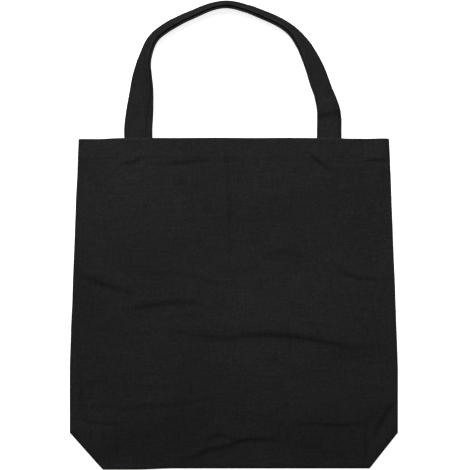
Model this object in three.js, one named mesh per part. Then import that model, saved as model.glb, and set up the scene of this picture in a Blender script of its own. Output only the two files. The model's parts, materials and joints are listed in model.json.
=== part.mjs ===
// Canvas tote bag, empty, lying on its back panel with both handles laid out past the mouth.
// Millimetres. X runs across the bag, Y from the base fold towards the handles, Z up from the
// surface that the bag lies on. The finished group is centred over its own footprint.
import * as THREE from 'three';

// Cloth and sewing
const CANVAS = 1.0;               // one layer of canvas
const HEM_THICKNESS = 2.0;        // the turned-in band: two layers
const STRAP_THICKNESS = 2.5;      // canvas folded to four layers and pressed
const SEAM_THICKNESS = 2.0;       // pressed seam allowance: two layers
const THREAD = 0.4;               // height of a row of stitches
const THREAD_WIDTH = 0.9;         // width of a row of stitches
const LAYER_GAP = 0.3;            // clearance between pieces that lie on each other

// Bag body, laid flat
const MOUTH_WIDTH = 373;
const WAIST_WIDTH = 394;          // widest, low on the bag
const BODY_HEIGHT = 396;
const WAIST_HEIGHT = 120;         // height of the widest place above the base fold
const SIDE_CURVE = 1.1;           // 1 is a straight side from there to the mouth
const CORNER_CUT_WIDTH = 40;      // the boxed corner folds the outline in by this much
const CORNER_CUT_HEIGHT = 43;
const HEM_DEPTH = 27;
const BODY_THICKNESS = 15;        // outside thickness over the middle of the bag
const RIM_RUN = 4;                // the front cloth rounds over its edge in this run
const SLOPE_RUN = 50;             // and has reached its full height this far in
const RIM_SHARE = 0.32;           // share of the rise that the rounded edge makes
const HEM_RAMP = 25;              // the side edges thicken over this run towards the hem

// Seam allowances inside
const SEAM_INSET = 4.5;
const SEAM_ALLOWANCE = 10;
const CORNER_SEAM_LENGTH = 36;

// Handles
const STRAP_WIDTH = 25;
const STRAP_SPACING = 228;        // between the middles of one handle's two ends
const STRAP_END_LENGTH = 38;      // sewn end inside the bag
const HANDLE_RISE = 165.5;        // from the mouth to the top of the handle
const HANDLE_PLY_GAP = 1.3;       // between the two handles where they lie together
const LEFT_STAGGER = 8.6;         // how far the back handle shows beside the front one
const RIGHT_STAGGER = 5.0;
const HANDLE_LIFT = 9;            // how far the strap rises as it turns on its edge
const HINGE_INSET = 0.3;          // hinge line below the top of the mouth
const STITCH_INSET = 2.5;         // row of stitches in from the edge of a strap
const STITCH_START = 14;          // the rows start this far past the mouth
const BOX_STITCH_MARGIN = 5;      // the square of stitches stays this far inside the hem band

// The handle as it lies: across in halves of the strap spacing, up in shares of the rise, tilt of
// the strap in degrees (0 lies flat, 90 stands on its edge) and the stagger's share
const HANDLE_ROUTE = [
  { across: -1.0, up: 0.0, tilt: 0, stagger: 1 },
  { across: -1.0, up: 0.08, tilt: 0, stagger: 1 },
  { across: -0.985, up: 0.2, tilt: 2, stagger: 0.85 },
  { across: -0.965, up: 0.35, tilt: 14, stagger: 0.4 },
  { across: -0.955, up: 0.48, tilt: 38, stagger: 0.1 },
  { across: -0.925, up: 0.6, tilt: 58, stagger: 0 },
  { across: -0.85, up: 0.73, tilt: 64, stagger: 0 },
  { across: -0.71, up: 0.82, tilt: 64, stagger: 0 },
  { across: -0.46, up: 0.915, tilt: 67, stagger: 0 },
  { across: -0.08, up: 1.0, tilt: 70, stagger: 0 },
  { across: 0.34, up: 0.91, tilt: 66, stagger: 0 },
  { across: 0.58, up: 0.815, tilt: 64, stagger: 0 },
  { across: 0.73, up: 0.69, tilt: 52, stagger: 0 },
  { across: 0.835, up: 0.54, tilt: 36, stagger: -0.05 },
  { across: 0.9, up: 0.41, tilt: 22, stagger: -0.2 },
  { across: 0.965, up: 0.28, tilt: 10, stagger: -0.6 },
  { across: 1.0, up: 0.16, tilt: 3, stagger: -1 },
  { across: 1.0, up: 0.07, tilt: 0, stagger: -1 },
  { across: 1.0, up: 0.0, tilt: 0, stagger: -1 },
];
const HANDLE_STEPS = 90;

// Heights of the layers at the mouth, from the surface up
const backHemBottom = CANVAS + LAYER_GAP;
const backHemTop = backHemBottom + HEM_THICKNESS;
const backStrapBottom = backHemTop + LAYER_GAP + THREAD + LAYER_GAP;
const frontPanelInside = BODY_THICKNESS - CANVAS;
const frontHemTop = frontPanelInside - LAYER_GAP;
const frontHemBottom = frontHemTop - HEM_THICKNESS;
const frontStrapTop = frontHemBottom - LAYER_GAP;
const frontStrapBottom = frontStrapTop - STRAP_THICKNESS;
const sideHemTop = backHemTop + LAYER_GAP + HEM_THICKNESS;
const strapEndTop = BODY_HEIGHT - HINGE_INSET - LAYER_GAP / 2;
const boxStitchSide = HEM_DEPTH - 2 * BOX_STITCH_MARGIN;

const canvasMaterial = new THREE.MeshStandardMaterial({ color: 0x1b1b1c, roughness: 0.92, metalness: 0 });
const strapMaterial = new THREE.MeshStandardMaterial({ color: 0x1e1e1f, roughness: 0.9, metalness: 0 });
const threadMaterial = new THREE.MeshStandardMaterial({ color: 0x242425, roughness: 0.6, metalness: 0 });

// A closed solid between an upper and a lower surface that share one grid of stations.
function solidBetween(upper, lower, columns, rows) {
  const positions = [];
  for (const surface of [upper, lower]) {
    for (const row of rows) {
      for (const column of columns) {
        positions.push(...surface(column, row).toArray());
      }
    }
  }
  const width = columns.length;
  const layer = width * rows.length;
  const index = [];
  const quad = (a, b, c, d) => index.push(a, b, c, a, c, d);
  for (let row = 0; row < rows.length - 1; row += 1) {
    for (let column = 0; column < width - 1; column += 1) {
      const a = row * width + column;
      quad(a, a + 1, a + width + 1, a + width);
      quad(layer + a, layer + a + width, layer + a + width + 1, layer + a + 1);
    }
  }
  const rim = rimOrder(width, rows.length);
  rim.forEach((a, place) => {
    const b = rim[(place + 1) % rim.length];
    quad(a, layer + a, layer + b, b);
  });
  const geometry = new THREE.BufferGeometry();
  geometry.setAttribute('position', new THREE.Float32BufferAttribute(positions, 3));
  geometry.setIndex(index);
  geometry.computeVertexNormals();
  return geometry;
}

// The grid's outer vertices, once round, anticlockwise as seen from above.
function rimOrder(width, height) {
  const rim = [];
  for (let column = 0; column < width - 1; column += 1) rim.push(column);
  for (let row = 0; row < height - 1; row += 1) rim.push(row * width + width - 1);
  for (let column = width - 1; column > 0; column -= 1) rim.push((height - 1) * width + column);
  for (let row = height - 1; row > 0; row -= 1) rim.push(row * width);
  return rim;
}

// Evenly spaced values through a list of marks, each stretch cut into its own number of steps.
function stations(marks, steps) {
  const values = [marks[0]];
  steps.forEach((count, stretch) => {
    for (let step = 1; step <= count; step += 1) {
      values.push(THREE.MathUtils.lerp(marks[stretch], marks[stretch + 1], step / count));
    }
  });
  return values;
}

// Half the bag's width at a height above the base fold.
function halfWidth(height) {
  const mouth = MOUTH_WIDTH / 2;
  const waist = WAIST_WIDTH / 2;
  if (height < CORNER_CUT_HEIGHT) {
    return waist - CORNER_CUT_WIDTH * (1 - height / CORNER_CUT_HEIGHT);
  }
  const climb = Math.max(0, height - WAIST_HEIGHT) / (BODY_HEIGHT - WAIST_HEIGHT);
  return waist + (mouth - waist) * Math.pow(climb, SIDE_CURVE);
}

// Height of the front panel's outer face. Away from its edges it is level.
function frontFace(x, y) {
  const side = halfWidth(y) - Math.abs(x);
  const ramp = THREE.MathUtils.smoothstep(y, BODY_HEIGHT - HEM_DEPTH - HEM_RAMP, BODY_HEIGHT - HEM_DEPTH);
  const edge = THREE.MathUtils.lerp(backHemBottom, sideHemTop + LAYER_GAP, ramp) + CANVAS;
  const rim = THREE.MathUtils.clamp(side / RIM_RUN, 0, 1) * THREE.MathUtils.clamp(y / RIM_RUN, 0, 1);
  const slope = THREE.MathUtils.smoothstep(side, 0, SLOPE_RUN) * THREE.MathUtils.smoothstep(y, 0, SLOPE_RUN);
  return THREE.MathUtils.lerp(edge, BODY_THICKNESS, RIM_SHARE * rim + (1 - RIM_SHARE) * slope);
}

// Columns across the bag, each a distance in from the left edge (side -1) or from the right edge
// (side 1), with one down the middle (side 0).
function acrossColumns() {
  const right = stations([0, RIM_RUN, SLOPE_RUN], [1, 4]);
  const left = right.map((inset) => ({ side: -1, inset }));
  const middle = [{ side: 0, inset: 0 }];
  return [...left, ...middle, ...right.reverse().map((inset) => ({ side: 1, inset }))];
}

// X of a column at a height above the base fold.
function columnX(column, y) {
  return column.side * (halfWidth(y) - column.inset);
}

// A layer that follows the front panel, from one drop below its outer face to another.
function frontLayer(upperDrop, lowerDrop, rows) {
  const point = (drop) => (column, y) => {
    const x = columnX(column, y);
    return new THREE.Vector3(x, y, frontFace(x, y) - drop);
  };
  return solidBetween(point(upperDrop), point(lowerDrop), acrossColumns(), rows);
}

function frontPanel() {
  const marks = [0, RIM_RUN, CORNER_CUT_HEIGHT, SLOPE_RUN + RIM_RUN, BODY_HEIGHT - HEM_DEPTH - HEM_RAMP,
    BODY_HEIGHT - HEM_DEPTH, BODY_HEIGHT];
  return frontLayer(0, CANVAS, stations(marks, [1, 4, 1, 6, 4, 1]));
}

function frontHem() {
  const drop = CANVAS + LAYER_GAP;
  return frontLayer(drop, drop + HEM_THICKNESS, [BODY_HEIGHT - HEM_DEPTH, BODY_HEIGHT]);
}

function frontHemStitching() {
  const low = BODY_HEIGHT - HEM_DEPTH + STITCH_INSET;
  return frontLayer(-LAYER_GAP - THREAD, -LAYER_GAP, [low, low + THREAD_WIDTH]);
}

// A flat layer across the bag between two heights above the base fold, held in from its sides.
function flatLayer(bottom, thickness, rows, inset = 0) {
  const point = (z) => (side, y) => new THREE.Vector3(side * (halfWidth(y) - inset), y, z);
  return solidBetween(point(bottom + thickness), point(bottom), [-1, 1], rows);
}

function backPanel() {
  return flatLayer(0, CANVAS, stations([0, CORNER_CUT_HEIGHT, WAIST_HEIGHT, BODY_HEIGHT], [1, 1, 8]));
}

function backHem() {
  return flatLayer(backHemBottom, HEM_THICKNESS, [BODY_HEIGHT - HEM_DEPTH, BODY_HEIGHT]);
}

function backHemStitching() {
  const low = BODY_HEIGHT - HEM_DEPTH + STITCH_INSET;
  return flatLayer(backHemTop + LAYER_GAP, THREAD, [low, low + THREAD_WIDTH], 2 * RIM_RUN);
}

// The pressed seam allowance along one side edge, inside the bag.
function sideSeam(side) {
  const rows = stations([CORNER_CUT_HEIGHT + RIM_RUN, BODY_HEIGHT - HEM_DEPTH - HEM_RAMP], [6]);
  const point = (z) => (inset, y) => new THREE.Vector3(side * (halfWidth(y) - inset), y, z);
  const insets = [SEAM_INSET, SEAM_INSET + SEAM_ALLOWANCE];
  const columns = side > 0 ? insets.reverse() : insets;
  return solidBetween(point(backHemBottom + SEAM_THICKNESS), point(backHemBottom), columns, rows);
}

// The pressed seam allowance along the base fold, between the two corner seams.
function baseSeam() {
  const length = WAIST_WIDTH - 2 * CORNER_CUT_WIDTH - 2 * SEAM_ALLOWANCE;
  return new THREE.BoxGeometry(length, SEAM_ALLOWANCE, SEAM_THICKNESS);
}

// The pressed seam across a boxed corner, lying square to the folded-in corner edge.
function cornerSeam() {
  return new THREE.BoxGeometry(CORNER_SEAM_LENGTH, SEAM_ALLOWANCE, SEAM_THICKNESS);
}

// A strap's sewn end, flat inside the bag.
function strapEnd() {
  return new THREE.BoxGeometry(STRAP_WIDTH, STRAP_END_LENGTH, STRAP_THICKNESS);
}

// The square of stitches that holds a strap end to the hem, open in the middle.
function boxStitch() {
  const outer = boxStitchSide / 2;
  const inner = outer - THREAD_WIDTH;
  const square = (half) => [[-half, -half], [half, -half], [half, half], [-half, half]]
    .map(([x, y]) => new THREE.Vector2(x, y));
  const shape = new THREE.Shape(square(outer));
  shape.holes.push(new THREE.Path(square(inner)));
  return new THREE.ExtrudeGeometry(shape, { depth: THREAD, bevelEnabled: false });
}

const routePath = new THREE.CatmullRomCurve3(
  HANDLE_ROUTE.map((stop) => new THREE.Vector3(stop.across, stop.up, 0)), false, 'catmullrom', 0.5);
const routePosture = new THREE.CatmullRomCurve3(
  HANDLE_ROUTE.map((stop) => new THREE.Vector3(stop.tilt, stop.stagger, 0)), false, 'catmullrom', 0.5);

// How far a handle reaches past its own middle line at the top of its arch.
function apexReach() {
  const tilt = THREE.MathUtils.degToRad(Math.max(...HANDLE_ROUTE.map((stop) => stop.tilt)));
  const ply = (HANDLE_PLY_GAP + STRAP_THICKNESS) / 2 + STRAP_THICKNESS / 2;
  return ply * Math.sin(tilt) + STRAP_WIDTH / 2 * Math.cos(tilt);
}

// The strap at a share of its route: the place midway between the two handles, the direction out
// of its upper face, the direction across it towards the inside of the loop, half the distance
// between the two handles' middles, and half their stagger.
function strapFrame(share) {
  const scale = new THREE.Vector3(STRAP_SPACING / 2, HANDLE_RISE - apexReach(), 1);
  const posture = routePosture.getPoint(share);
  const tilt = THREE.MathUtils.degToRad(THREE.MathUtils.clamp(posture.x, 0, 90));
  const along = routePath.getTangent(share).multiply(scale).normalize();
  const up = new THREE.Vector3(0, 0, 1);
  const outward = up.clone().cross(along);
  const normal = outward.clone().multiplyScalar(Math.sin(tilt)).addScaledVector(up, Math.cos(tilt));
  const inward = outward.clone().multiplyScalar(-Math.cos(tilt)).addScaledVector(up, Math.sin(tilt));
  const place = routePath.getPoint(share).multiply(scale);
  const rootMiddle = (frontStrapTop + backStrapBottom) / 2;
  place.y += strapEndTop + LAYER_GAP;
  place.z = rootMiddle + HANDLE_LIFT * Math.sin(tilt);
  const rootPly = (frontStrapTop - backStrapBottom - STRAP_THICKNESS) / 2;
  const ply = THREE.MathUtils.lerp(rootPly, (HANDLE_PLY_GAP + STRAP_THICKNESS) / 2, Math.sin(tilt));
  const stagger = posture.y * (posture.y > 0 ? LEFT_STAGGER : RIGHT_STAGGER) / 2;
  return { place, normal, inward, ply, stagger };
}

// A strip that follows one handle's route: face is 1 for the front handle and -1 for the back
// one, middle is the strip's place across the strap, and low and high are its faces over the
// strap's own middle.
function handleStrip(face, middle, width, low, high, start) {
  const rows = stations([start, 1 - start], [HANDLE_STEPS]);
  const columns = [middle - width / 2, middle + width / 2];
  const point = (over) => (across, share) => {
    const frame = strapFrame(share);
    return frame.place.clone()
      .addScaledVector(frame.normal, face * frame.ply + over)
      .addScaledVector(frame.inward, across - face * frame.stagger);
  };
  return solidBetween(point(high), point(low), columns, rows);
}

function handle(face) {
  return handleStrip(face, 0, STRAP_WIDTH, -STRAP_THICKNESS / 2, STRAP_THICKNESS / 2, 0);
}

// A row of stitches along one edge of a handle, side 1 on the inner edge and -1 on the outer.
function handleStitching(face, side) {
  const middle = side * (STRAP_WIDTH / 2 - STITCH_INSET);
  const low = STRAP_THICKNESS / 2 + LAYER_GAP;
  const routeLength = routePath.getLength() * HANDLE_RISE;
  return handleStrip(face, middle, THREAD_WIDTH, low, low + THREAD, STITCH_START / routeLength);
}

function addMesh(parent, name, geometry, material, x = 0, y = 0, z = 0, turn = 0) {
  const mesh = new THREE.Mesh(geometry, material);
  mesh.name = name;
  mesh.position.set(x, y, z);
  mesh.rotation.z = turn;
  parent.add(mesh);
}

function addBody(parent) {
  addMesh(parent, 'back_panel', backPanel(), canvasMaterial);
  addMesh(parent, 'front_panel', frontPanel(), canvasMaterial);
  addMesh(parent, 'back_hem', backHem(), canvasMaterial);
  addMesh(parent, 'front_hem', frontHem(), canvasMaterial);
  addMesh(parent, 'back_hem_stitching', backHemStitching(), threadMaterial);
  addMesh(parent, 'front_hem_stitching', frontHemStitching(), threadMaterial);
}

function addSeams(parent) {
  const middle = backHemBottom + SEAM_THICKNESS / 2;
  addMesh(parent, 'base_seam', baseSeam(), canvasMaterial, 0, SEAM_INSET + SEAM_ALLOWANCE / 2, middle);
  const cutAngle = Math.atan2(CORNER_CUT_WIDTH, CORNER_CUT_HEIGHT);
  const reach = SEAM_INSET + CORNER_SEAM_LENGTH / 2;
  const cornerX = WAIST_WIDTH / 2 - CORNER_CUT_WIDTH / 2 - reach * Math.cos(cutAngle);
  const cornerY = CORNER_CUT_HEIGHT / 2 + reach * Math.sin(cutAngle);
  for (const [name, side] of [['left', -1], ['right', 1]]) {
    addMesh(parent, `${name}_side_seam`, sideSeam(side), canvasMaterial);
    addMesh(parent, `${name}_corner_seam`, cornerSeam(), canvasMaterial,
      side * cornerX, cornerY, middle, -side * cutAngle);
  }
}

function addHandle(parent, name, face) {
  const endMiddle = face > 0 ? frontStrapTop - STRAP_THICKNESS / 2 : backStrapBottom + STRAP_THICKNESS / 2;
  const stitchBottom = face > 0 ? BODY_THICKNESS + LAYER_GAP : backStrapBottom + STRAP_THICKNESS + LAYER_GAP;
  const endY = strapEndTop - STRAP_END_LENGTH / 2;
  const stitchY = BODY_HEIGHT - HEM_DEPTH / 2;
  const sides = [['left', -1, LEFT_STAGGER], ['right', 1, RIGHT_STAGGER]];
  for (const [side, sign, stagger] of sides) {
    const x = sign * STRAP_SPACING / 2 - face * stagger / 2;
    addMesh(parent, `${name}_strap_end_${side}`, strapEnd(), strapMaterial, x, endY, endMiddle);
    addMesh(parent, `${name}_box_stitch_${side}`, boxStitch(), threadMaterial, x, stitchY, stitchBottom);
  }
  addMesh(parent, `${name}_handle`, handle(face), strapMaterial);
  addMesh(parent, `${name}_handle_stitch_inner`, handleStitching(face, 1), threadMaterial);
  addMesh(parent, `${name}_handle_stitch_outer`, handleStitching(face, -1), threadMaterial);
}

function centreOverFootprint(group) {
  const box = new THREE.Box3().setFromObject(group, true);
  group.position.set(-(box.min.x + box.max.x) / 2, -(box.min.y + box.max.y) / 2, -box.min.z);
}

const assembly = new THREE.Group();
addBody(assembly);
addSeams(assembly);
addHandle(assembly, 'front', 1);
addHandle(assembly, 'back', -1);
centreOverFootprint(assembly);

const toteBag = new THREE.Group();
toteBag.name = 'tote_bag';
toteBag.add(assembly);

export default toteBag;
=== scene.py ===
"""Canvas tote bag lying on its back panel: the looks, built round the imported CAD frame.

Every length is in metres and every piece is placed in the CAD frame: X runs across the bag, Y from
the base fold towards the handles, and Z up from the surface that the bag lies on.
"""
import json
import logging
import math
from dataclasses import dataclass, field
from enum import Enum
from typing import Iterable, Sequence

import bpy
import numpy as np
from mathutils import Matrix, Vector


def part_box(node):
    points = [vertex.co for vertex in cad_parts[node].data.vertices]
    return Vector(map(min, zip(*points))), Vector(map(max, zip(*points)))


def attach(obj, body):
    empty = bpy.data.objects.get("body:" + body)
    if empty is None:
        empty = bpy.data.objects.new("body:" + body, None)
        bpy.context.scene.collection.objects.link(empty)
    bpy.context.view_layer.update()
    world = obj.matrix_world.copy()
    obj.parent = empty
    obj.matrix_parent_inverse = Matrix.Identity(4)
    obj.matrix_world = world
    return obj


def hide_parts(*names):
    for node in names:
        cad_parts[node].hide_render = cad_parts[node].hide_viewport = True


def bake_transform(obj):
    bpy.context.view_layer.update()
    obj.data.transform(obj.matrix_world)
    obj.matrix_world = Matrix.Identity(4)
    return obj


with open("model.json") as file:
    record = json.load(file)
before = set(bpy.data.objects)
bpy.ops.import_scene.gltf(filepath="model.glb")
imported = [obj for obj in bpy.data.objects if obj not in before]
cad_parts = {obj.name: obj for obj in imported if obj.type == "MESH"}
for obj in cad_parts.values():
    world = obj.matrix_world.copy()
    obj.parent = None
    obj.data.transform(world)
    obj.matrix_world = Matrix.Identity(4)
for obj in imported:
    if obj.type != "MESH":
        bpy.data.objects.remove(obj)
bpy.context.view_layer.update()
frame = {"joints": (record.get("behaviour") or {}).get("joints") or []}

LOG = logging.getLogger("tote_bag")
Array = np.ndarray
MM = 0.001


class Face(Enum):
    """Which panel of the bag a piece belongs to."""

    FRONT = 1
    BACK = -1

    @property
    def word(self) -> str:
        """The name that CAD nodes and bodies use for this panel."""
        return self.name.lower()


class Side(Enum):
    """Left or right of the bag, as seen from its front."""

    LEFT = -1
    RIGHT = 1

    @property
    def word(self) -> str:
        """The name that CAD nodes use for this side."""
        return self.name.lower()


class Relief(Enum):
    """How a crease stands in the cloth."""

    STEP = "step"
    VALLEY = "valley"


# ---------------------------------------------------------------------------------------------
# Helpers on numbers
# ---------------------------------------------------------------------------------------------


def smoothstep(value: Array, low: float, high: float) -> Array:
    """Eases from 0 at low to 1 at high.

    Args:
        value: the numbers to ease.
        low: where the result leaves 0.
        high: where the result reaches 1.

    Returns:
        The eased numbers, from 0 to 1.
    """
    share = np.clip((value - low) / (high - low), 0.0, 1.0)
    return share * share * (3.0 - 2.0 * share)


def stations(marks: Sequence[float], steps: Sequence[int]) -> Array:
    """Evenly spaced values through a list of marks.

    Args:
        marks: the values that must be hit, in order.
        steps: how many steps each stretch between two marks is cut into.

    Returns:
        All the values, marks included.
    """
    parts = [np.linspace(marks[place], marks[place + 1], count, endpoint=False)
             for place, count in enumerate(steps)]
    return np.concatenate([*parts, [marks[-1]]])


def catmull_rom(points: Array, share: Array) -> Array:
    """Smooth curve through points, with evenly spread parameters.

    Args:
        points: the points to pass through, one row each.
        share: places along the curve, from 0 to 1.

    Returns:
        One row for each place.
    """
    padded = np.vstack([2 * points[0] - points[1], points, 2 * points[-1] - points[-2]])
    place = np.clip(share, 0.0, 1.0) * (len(points) - 1)
    index = np.minimum(place.astype(int), len(points) - 2)
    t = (place - index)[:, None]
    a, b, c, d = (padded[index + offset] for offset in range(4))
    return 0.5 * (2 * b + (c - a) * t + (2 * a - 5 * b + 4 * c - d) * t**2
                  + (3 * b - a - 3 * c + d) * t**3)


def unit(vectors: Array) -> Array:
    """Each row of vectors, made one long."""
    return vectors / np.linalg.norm(vectors, axis=-1, keepdims=True)


def distances(points: Array) -> Array:
    """Distance along a line from its first point to each of its points."""
    return np.concatenate([[0.0], np.cumsum(np.linalg.norm(np.diff(points, axis=0), axis=1))])


def read_along(values: Array, walked: Array, at: Array) -> Array:
    """Reads rows of three values off a line at other distances.

    Args:
        values: one row for each point of the line.
        walked: distance from the line's first point to each point.
        at: the distances wanted.

    Returns:
        One row for each distance wanted.
    """
    return np.stack([np.interp(at, walked, values[:, axis]) for axis in range(3)], axis=1)


# ---------------------------------------------------------------------------------------------
# Helpers on meshes
# ---------------------------------------------------------------------------------------------


def deselect_all() -> None:
    """Clears the selection, so that an operator acts on nothing by accident."""
    for item in bpy.context.selected_objects:
        item.select_set(False)


def make_active(piece: bpy.types.Object) -> None:
    """Selects one object alone and makes it the active one."""
    deselect_all()
    piece.select_set(True)
    bpy.context.view_layer.objects.active = piece


def apply_modifier(piece: bpy.types.Object, kind: str, **settings: object) -> None:
    """Adds one modifier with its settings and applies it to the mesh.

    Args:
        piece: the object to change.
        kind: Blender's name for the modifier type.
        settings: values for the modifier's own properties.
    """
    make_active(piece)
    modifier = piece.modifiers.new(kind.title(), kind)
    for key, value in settings.items():
        setattr(modifier, key, value)
    bpy.ops.object.modifier_apply(modifier=modifier.name)


def smooth(piece: bpy.types.Object, angle: float = 50.0) -> None:
    """Shades a piece smooth, except across edges sharper than an angle in degrees."""
    make_active(piece)
    bpy.ops.object.shade_smooth_by_angle(angle=math.radians(angle))


def grid_faces(rows: int, columns: int, wrap: bool = False, flip: bool = False) -> Array:
    """Quads of a grid of vertices numbered row by row.

    Args:
        rows: how many rows of vertices there are.
        columns: how many vertices a row has.
        wrap: join each row's last vertex to its first.
        flip: turn the faces over.

    Returns:
        One row of four vertex numbers for each face.
    """
    across = np.arange(columns if wrap else columns - 1)
    row, column = np.meshgrid(np.arange(rows - 1), across, indexing="ij")
    following = (column + 1) % columns
    a, b = row * columns + column, row * columns + following
    c, d = (row + 1) * columns + following, (row + 1) * columns + column
    order = (a, d, c, b) if flip else (a, b, c, d)
    return np.stack([corner.ravel() for corner in order], axis=1)


def mesh_piece(name: str, points: Array, faces: Iterable[Sequence[int]],
               uv: Array) -> bpy.types.Object:
    """Makes a mesh object with its place in its mesh.

    Args:
        name: the piece's name.
        points: one vertex in each row.
        faces: vertex numbers of each face.
        uv: the cloth's own coordinates in metres, one row for each vertex.

    Returns:
        The new object.
    """
    mesh = bpy.data.meshes.new(name)
    mesh.from_pydata(points.tolist(), [], [list(map(int, face)) for face in faces])
    layer = mesh.uv_layers.new(name="cloth")
    corners = np.empty(len(mesh.loops), dtype=np.int32)
    mesh.loops.foreach_get("vertex_index", corners)
    layer.data.foreach_set("uv", uv[corners].astype(np.float32).ravel())
    piece = bpy.data.objects.new(name, mesh)
    bpy.context.scene.collection.objects.link(piece)
    return piece


def surface_uv(points: Array) -> Array:
    """Coordinates of a grid of points measured along the cloth itself.

    Args:
        points: the grid, shaped rows, columns, 3.

    Returns:
        One row of two coordinates for each point, row by row.
    """
    steps = np.linalg.norm(np.diff(points, axis=1), axis=2)
    across = np.concatenate([np.zeros((len(points), 1)), np.cumsum(steps, axis=1)], axis=1)
    middle = points.shape[1] // 2
    across -= across[:, middle:middle + 1]
    along = distances(points[:, middle])
    return np.stack([across, np.broadcast_to(along[:, None], across.shape)], axis=2).reshape(-1, 2)


def set_wear(piece: bpy.types.Object, wear: Array) -> None:
    """Stores how worn each vertex is, from 0 to 1, where the finishes read it."""
    attribute = piece.data.attributes.new("wear", "FLOAT", "POINT")
    attribute.data.foreach_set("value", np.clip(wear, 0.0, 1.0).astype(np.float32))


# ---------------------------------------------------------------------------------------------
# Finishes
# ---------------------------------------------------------------------------------------------


class Nodes:
    """Short ways to place and join shader nodes in one tree."""

    def __init__(self, tree: bpy.types.NodeTree) -> None:
        """Starts on an empty tree."""
        self.tree = tree
        tree.nodes.clear()

    def add(self, kind: str, settings: dict | None = None, **values: object) -> bpy.types.Node:
        """Places a node.

        Args:
            kind: the node's type name.
            settings: properties of the node itself.
            values: a number, a colour or another node's output for each input, by the input's
                name with underscores for spaces, or by in0, in1 and so on.

        Returns:
            The new node.
        """
        node = self.tree.nodes.new(kind)
        for key, value in (settings or {}).items():
            setattr(node, key, value)
        for key, value in values.items():
            socket = node.inputs[int(key[2:])] if key[:2] == "in" and key[2:].isdigit() else (
                node.inputs[key.replace("_", " ")])
            if isinstance(value, bpy.types.NodeSocket):
                self.tree.links.new(value, socket)
            else:
                socket.default_value = value
        return node

    def math(self, operation: str, *values: object) -> bpy.types.NodeSocket:
        """Places a Math node.

        Args:
            operation: what it does.
            values: its inputs in order, numbers or outputs.

        Returns:
            Its output.
        """
        inputs = {f"in{place}": value for place, value in enumerate(values)}
        return self.add("ShaderNodeMath", {"operation": operation}, **inputs).outputs[0]


def new_group(name: str, inputs: dict[str, float],
              outputs: Sequence[str]) -> tuple[bpy.types.NodeTree, Nodes]:
    """Starts a shader node group.

    Args:
        name: the group's name.
        inputs: each input's name and first value; the input named Vector is a vector.
        outputs: the names of its outputs, all plain numbers.

    Returns:
        The group and its node placer, empty but for its sockets.
    """
    group = bpy.data.node_groups.new(name, "ShaderNodeTree")
    for key, value in inputs.items():
        kind = "NodeSocketVector" if key == "Vector" else "NodeSocketFloat"
        socket = group.interface.new_socket(key, in_out="INPUT", socket_type=kind)
        if kind == "NodeSocketFloat":
            socket.default_value = value
    for key in outputs:
        group.interface.new_socket(key, in_out="OUTPUT", socket_type="NodeSocketFloat")
    return group, Nodes(group)


def plain_weave_group() -> bpy.types.NodeTree:
    """Plain weave of even threads: height of the cloth, how high on a thread, and thread tone, which fades
    into the dips between threads and so paints shade where it colours the cloth.
    """
    group, nodes = new_group("plain_weave", {"Vector": 0.0, "Pitch": 0.0007}, ["Height", "Crown", "Tone"])
    given = nodes.add("NodeGroupInput").outputs
    turns = nodes.math("DIVIDE", 1.0, given["Pitch"])
    # Threads wander a little, so that no row is ruler-straight.
    wander = nodes.add("ShaderNodeTexNoise", {"noise_dimensions": "2D"}, Vector=given["Vector"], Scale=90.0,
                       Detail=1.0)
    drift = nodes.add("ShaderNodeVectorMath", {"operation": "SUBTRACT"}, in0=wander.outputs["Color"],
                      in1=(0.5, 0.5, 0.5))
    drift = nodes.add("ShaderNodeVectorMath", {"operation": "SCALE"}, in0=drift.outputs[0], Scale=0.7)
    scaled = nodes.add("ShaderNodeVectorMath", {"operation": "SCALE"}, in0=given["Vector"], Scale=turns)
    moved = nodes.add("ShaderNodeVectorMath", {"operation": "ADD"}, in0=scaled.outputs[0],
                      in1=drift.outputs[0])
    axes = nodes.add("ShaderNodeSeparateXYZ", Vector=moved.outputs[0]).outputs
    profiles = []
    tones = []
    for along, across, shift in (("X", "Y", 0.0), ("Y", "X", 1.0)):
        row = nodes.math("FLOOR", axes[along])
        inside = nodes.math("FRACT", axes[along])
        centred = nodes.math("SUBTRACT", nodes.math("MULTIPLY", inside, 2.0), 1.0)
        body = nodes.math("SUBTRACT", 1.0, nodes.math("POWER", nodes.math("ABSOLUTE", centred), 2.5))
        phase = nodes.math("ADD", nodes.math("ADD", axes[across], row), shift)
        over = nodes.math("COSINE", nodes.math("MULTIPLY", phase, math.pi))
        over = nodes.math("MULTIPLY_ADD", over, 0.5, 0.5)
        profiles.append(nodes.math("MULTIPLY", body, nodes.math("MULTIPLY_ADD", over, 0.75, 0.25)))
        slub = nodes.add("ShaderNodeCombineXYZ", X=row, Y=nodes.math("MULTIPLY", axes[across], 0.03),
                         Z=shift * 7.0)
        noise = nodes.add("ShaderNodeTexNoise", Vector=slub.outputs[0], Scale=0.83, Detail=1.0)
        thick = nodes.add("ShaderNodeMapRange", Value=noise.outputs["Fac"], From_Min=0.3, From_Max=0.7)
        tones.append(nodes.math("MULTIPLY", thick.outputs["Result"], profiles[-1]))
    crown = nodes.math("MAXIMUM", profiles[0], profiles[1])
    tone = nodes.math("MAXIMUM", tones[0], tones[1])
    height = nodes.math("ADD", crown, nodes.math("MULTIPLY", tone, 0.5))
    nodes.add("NodeGroupOutput", Height=height, Crown=crown, Tone=tone)
    return group


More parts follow.
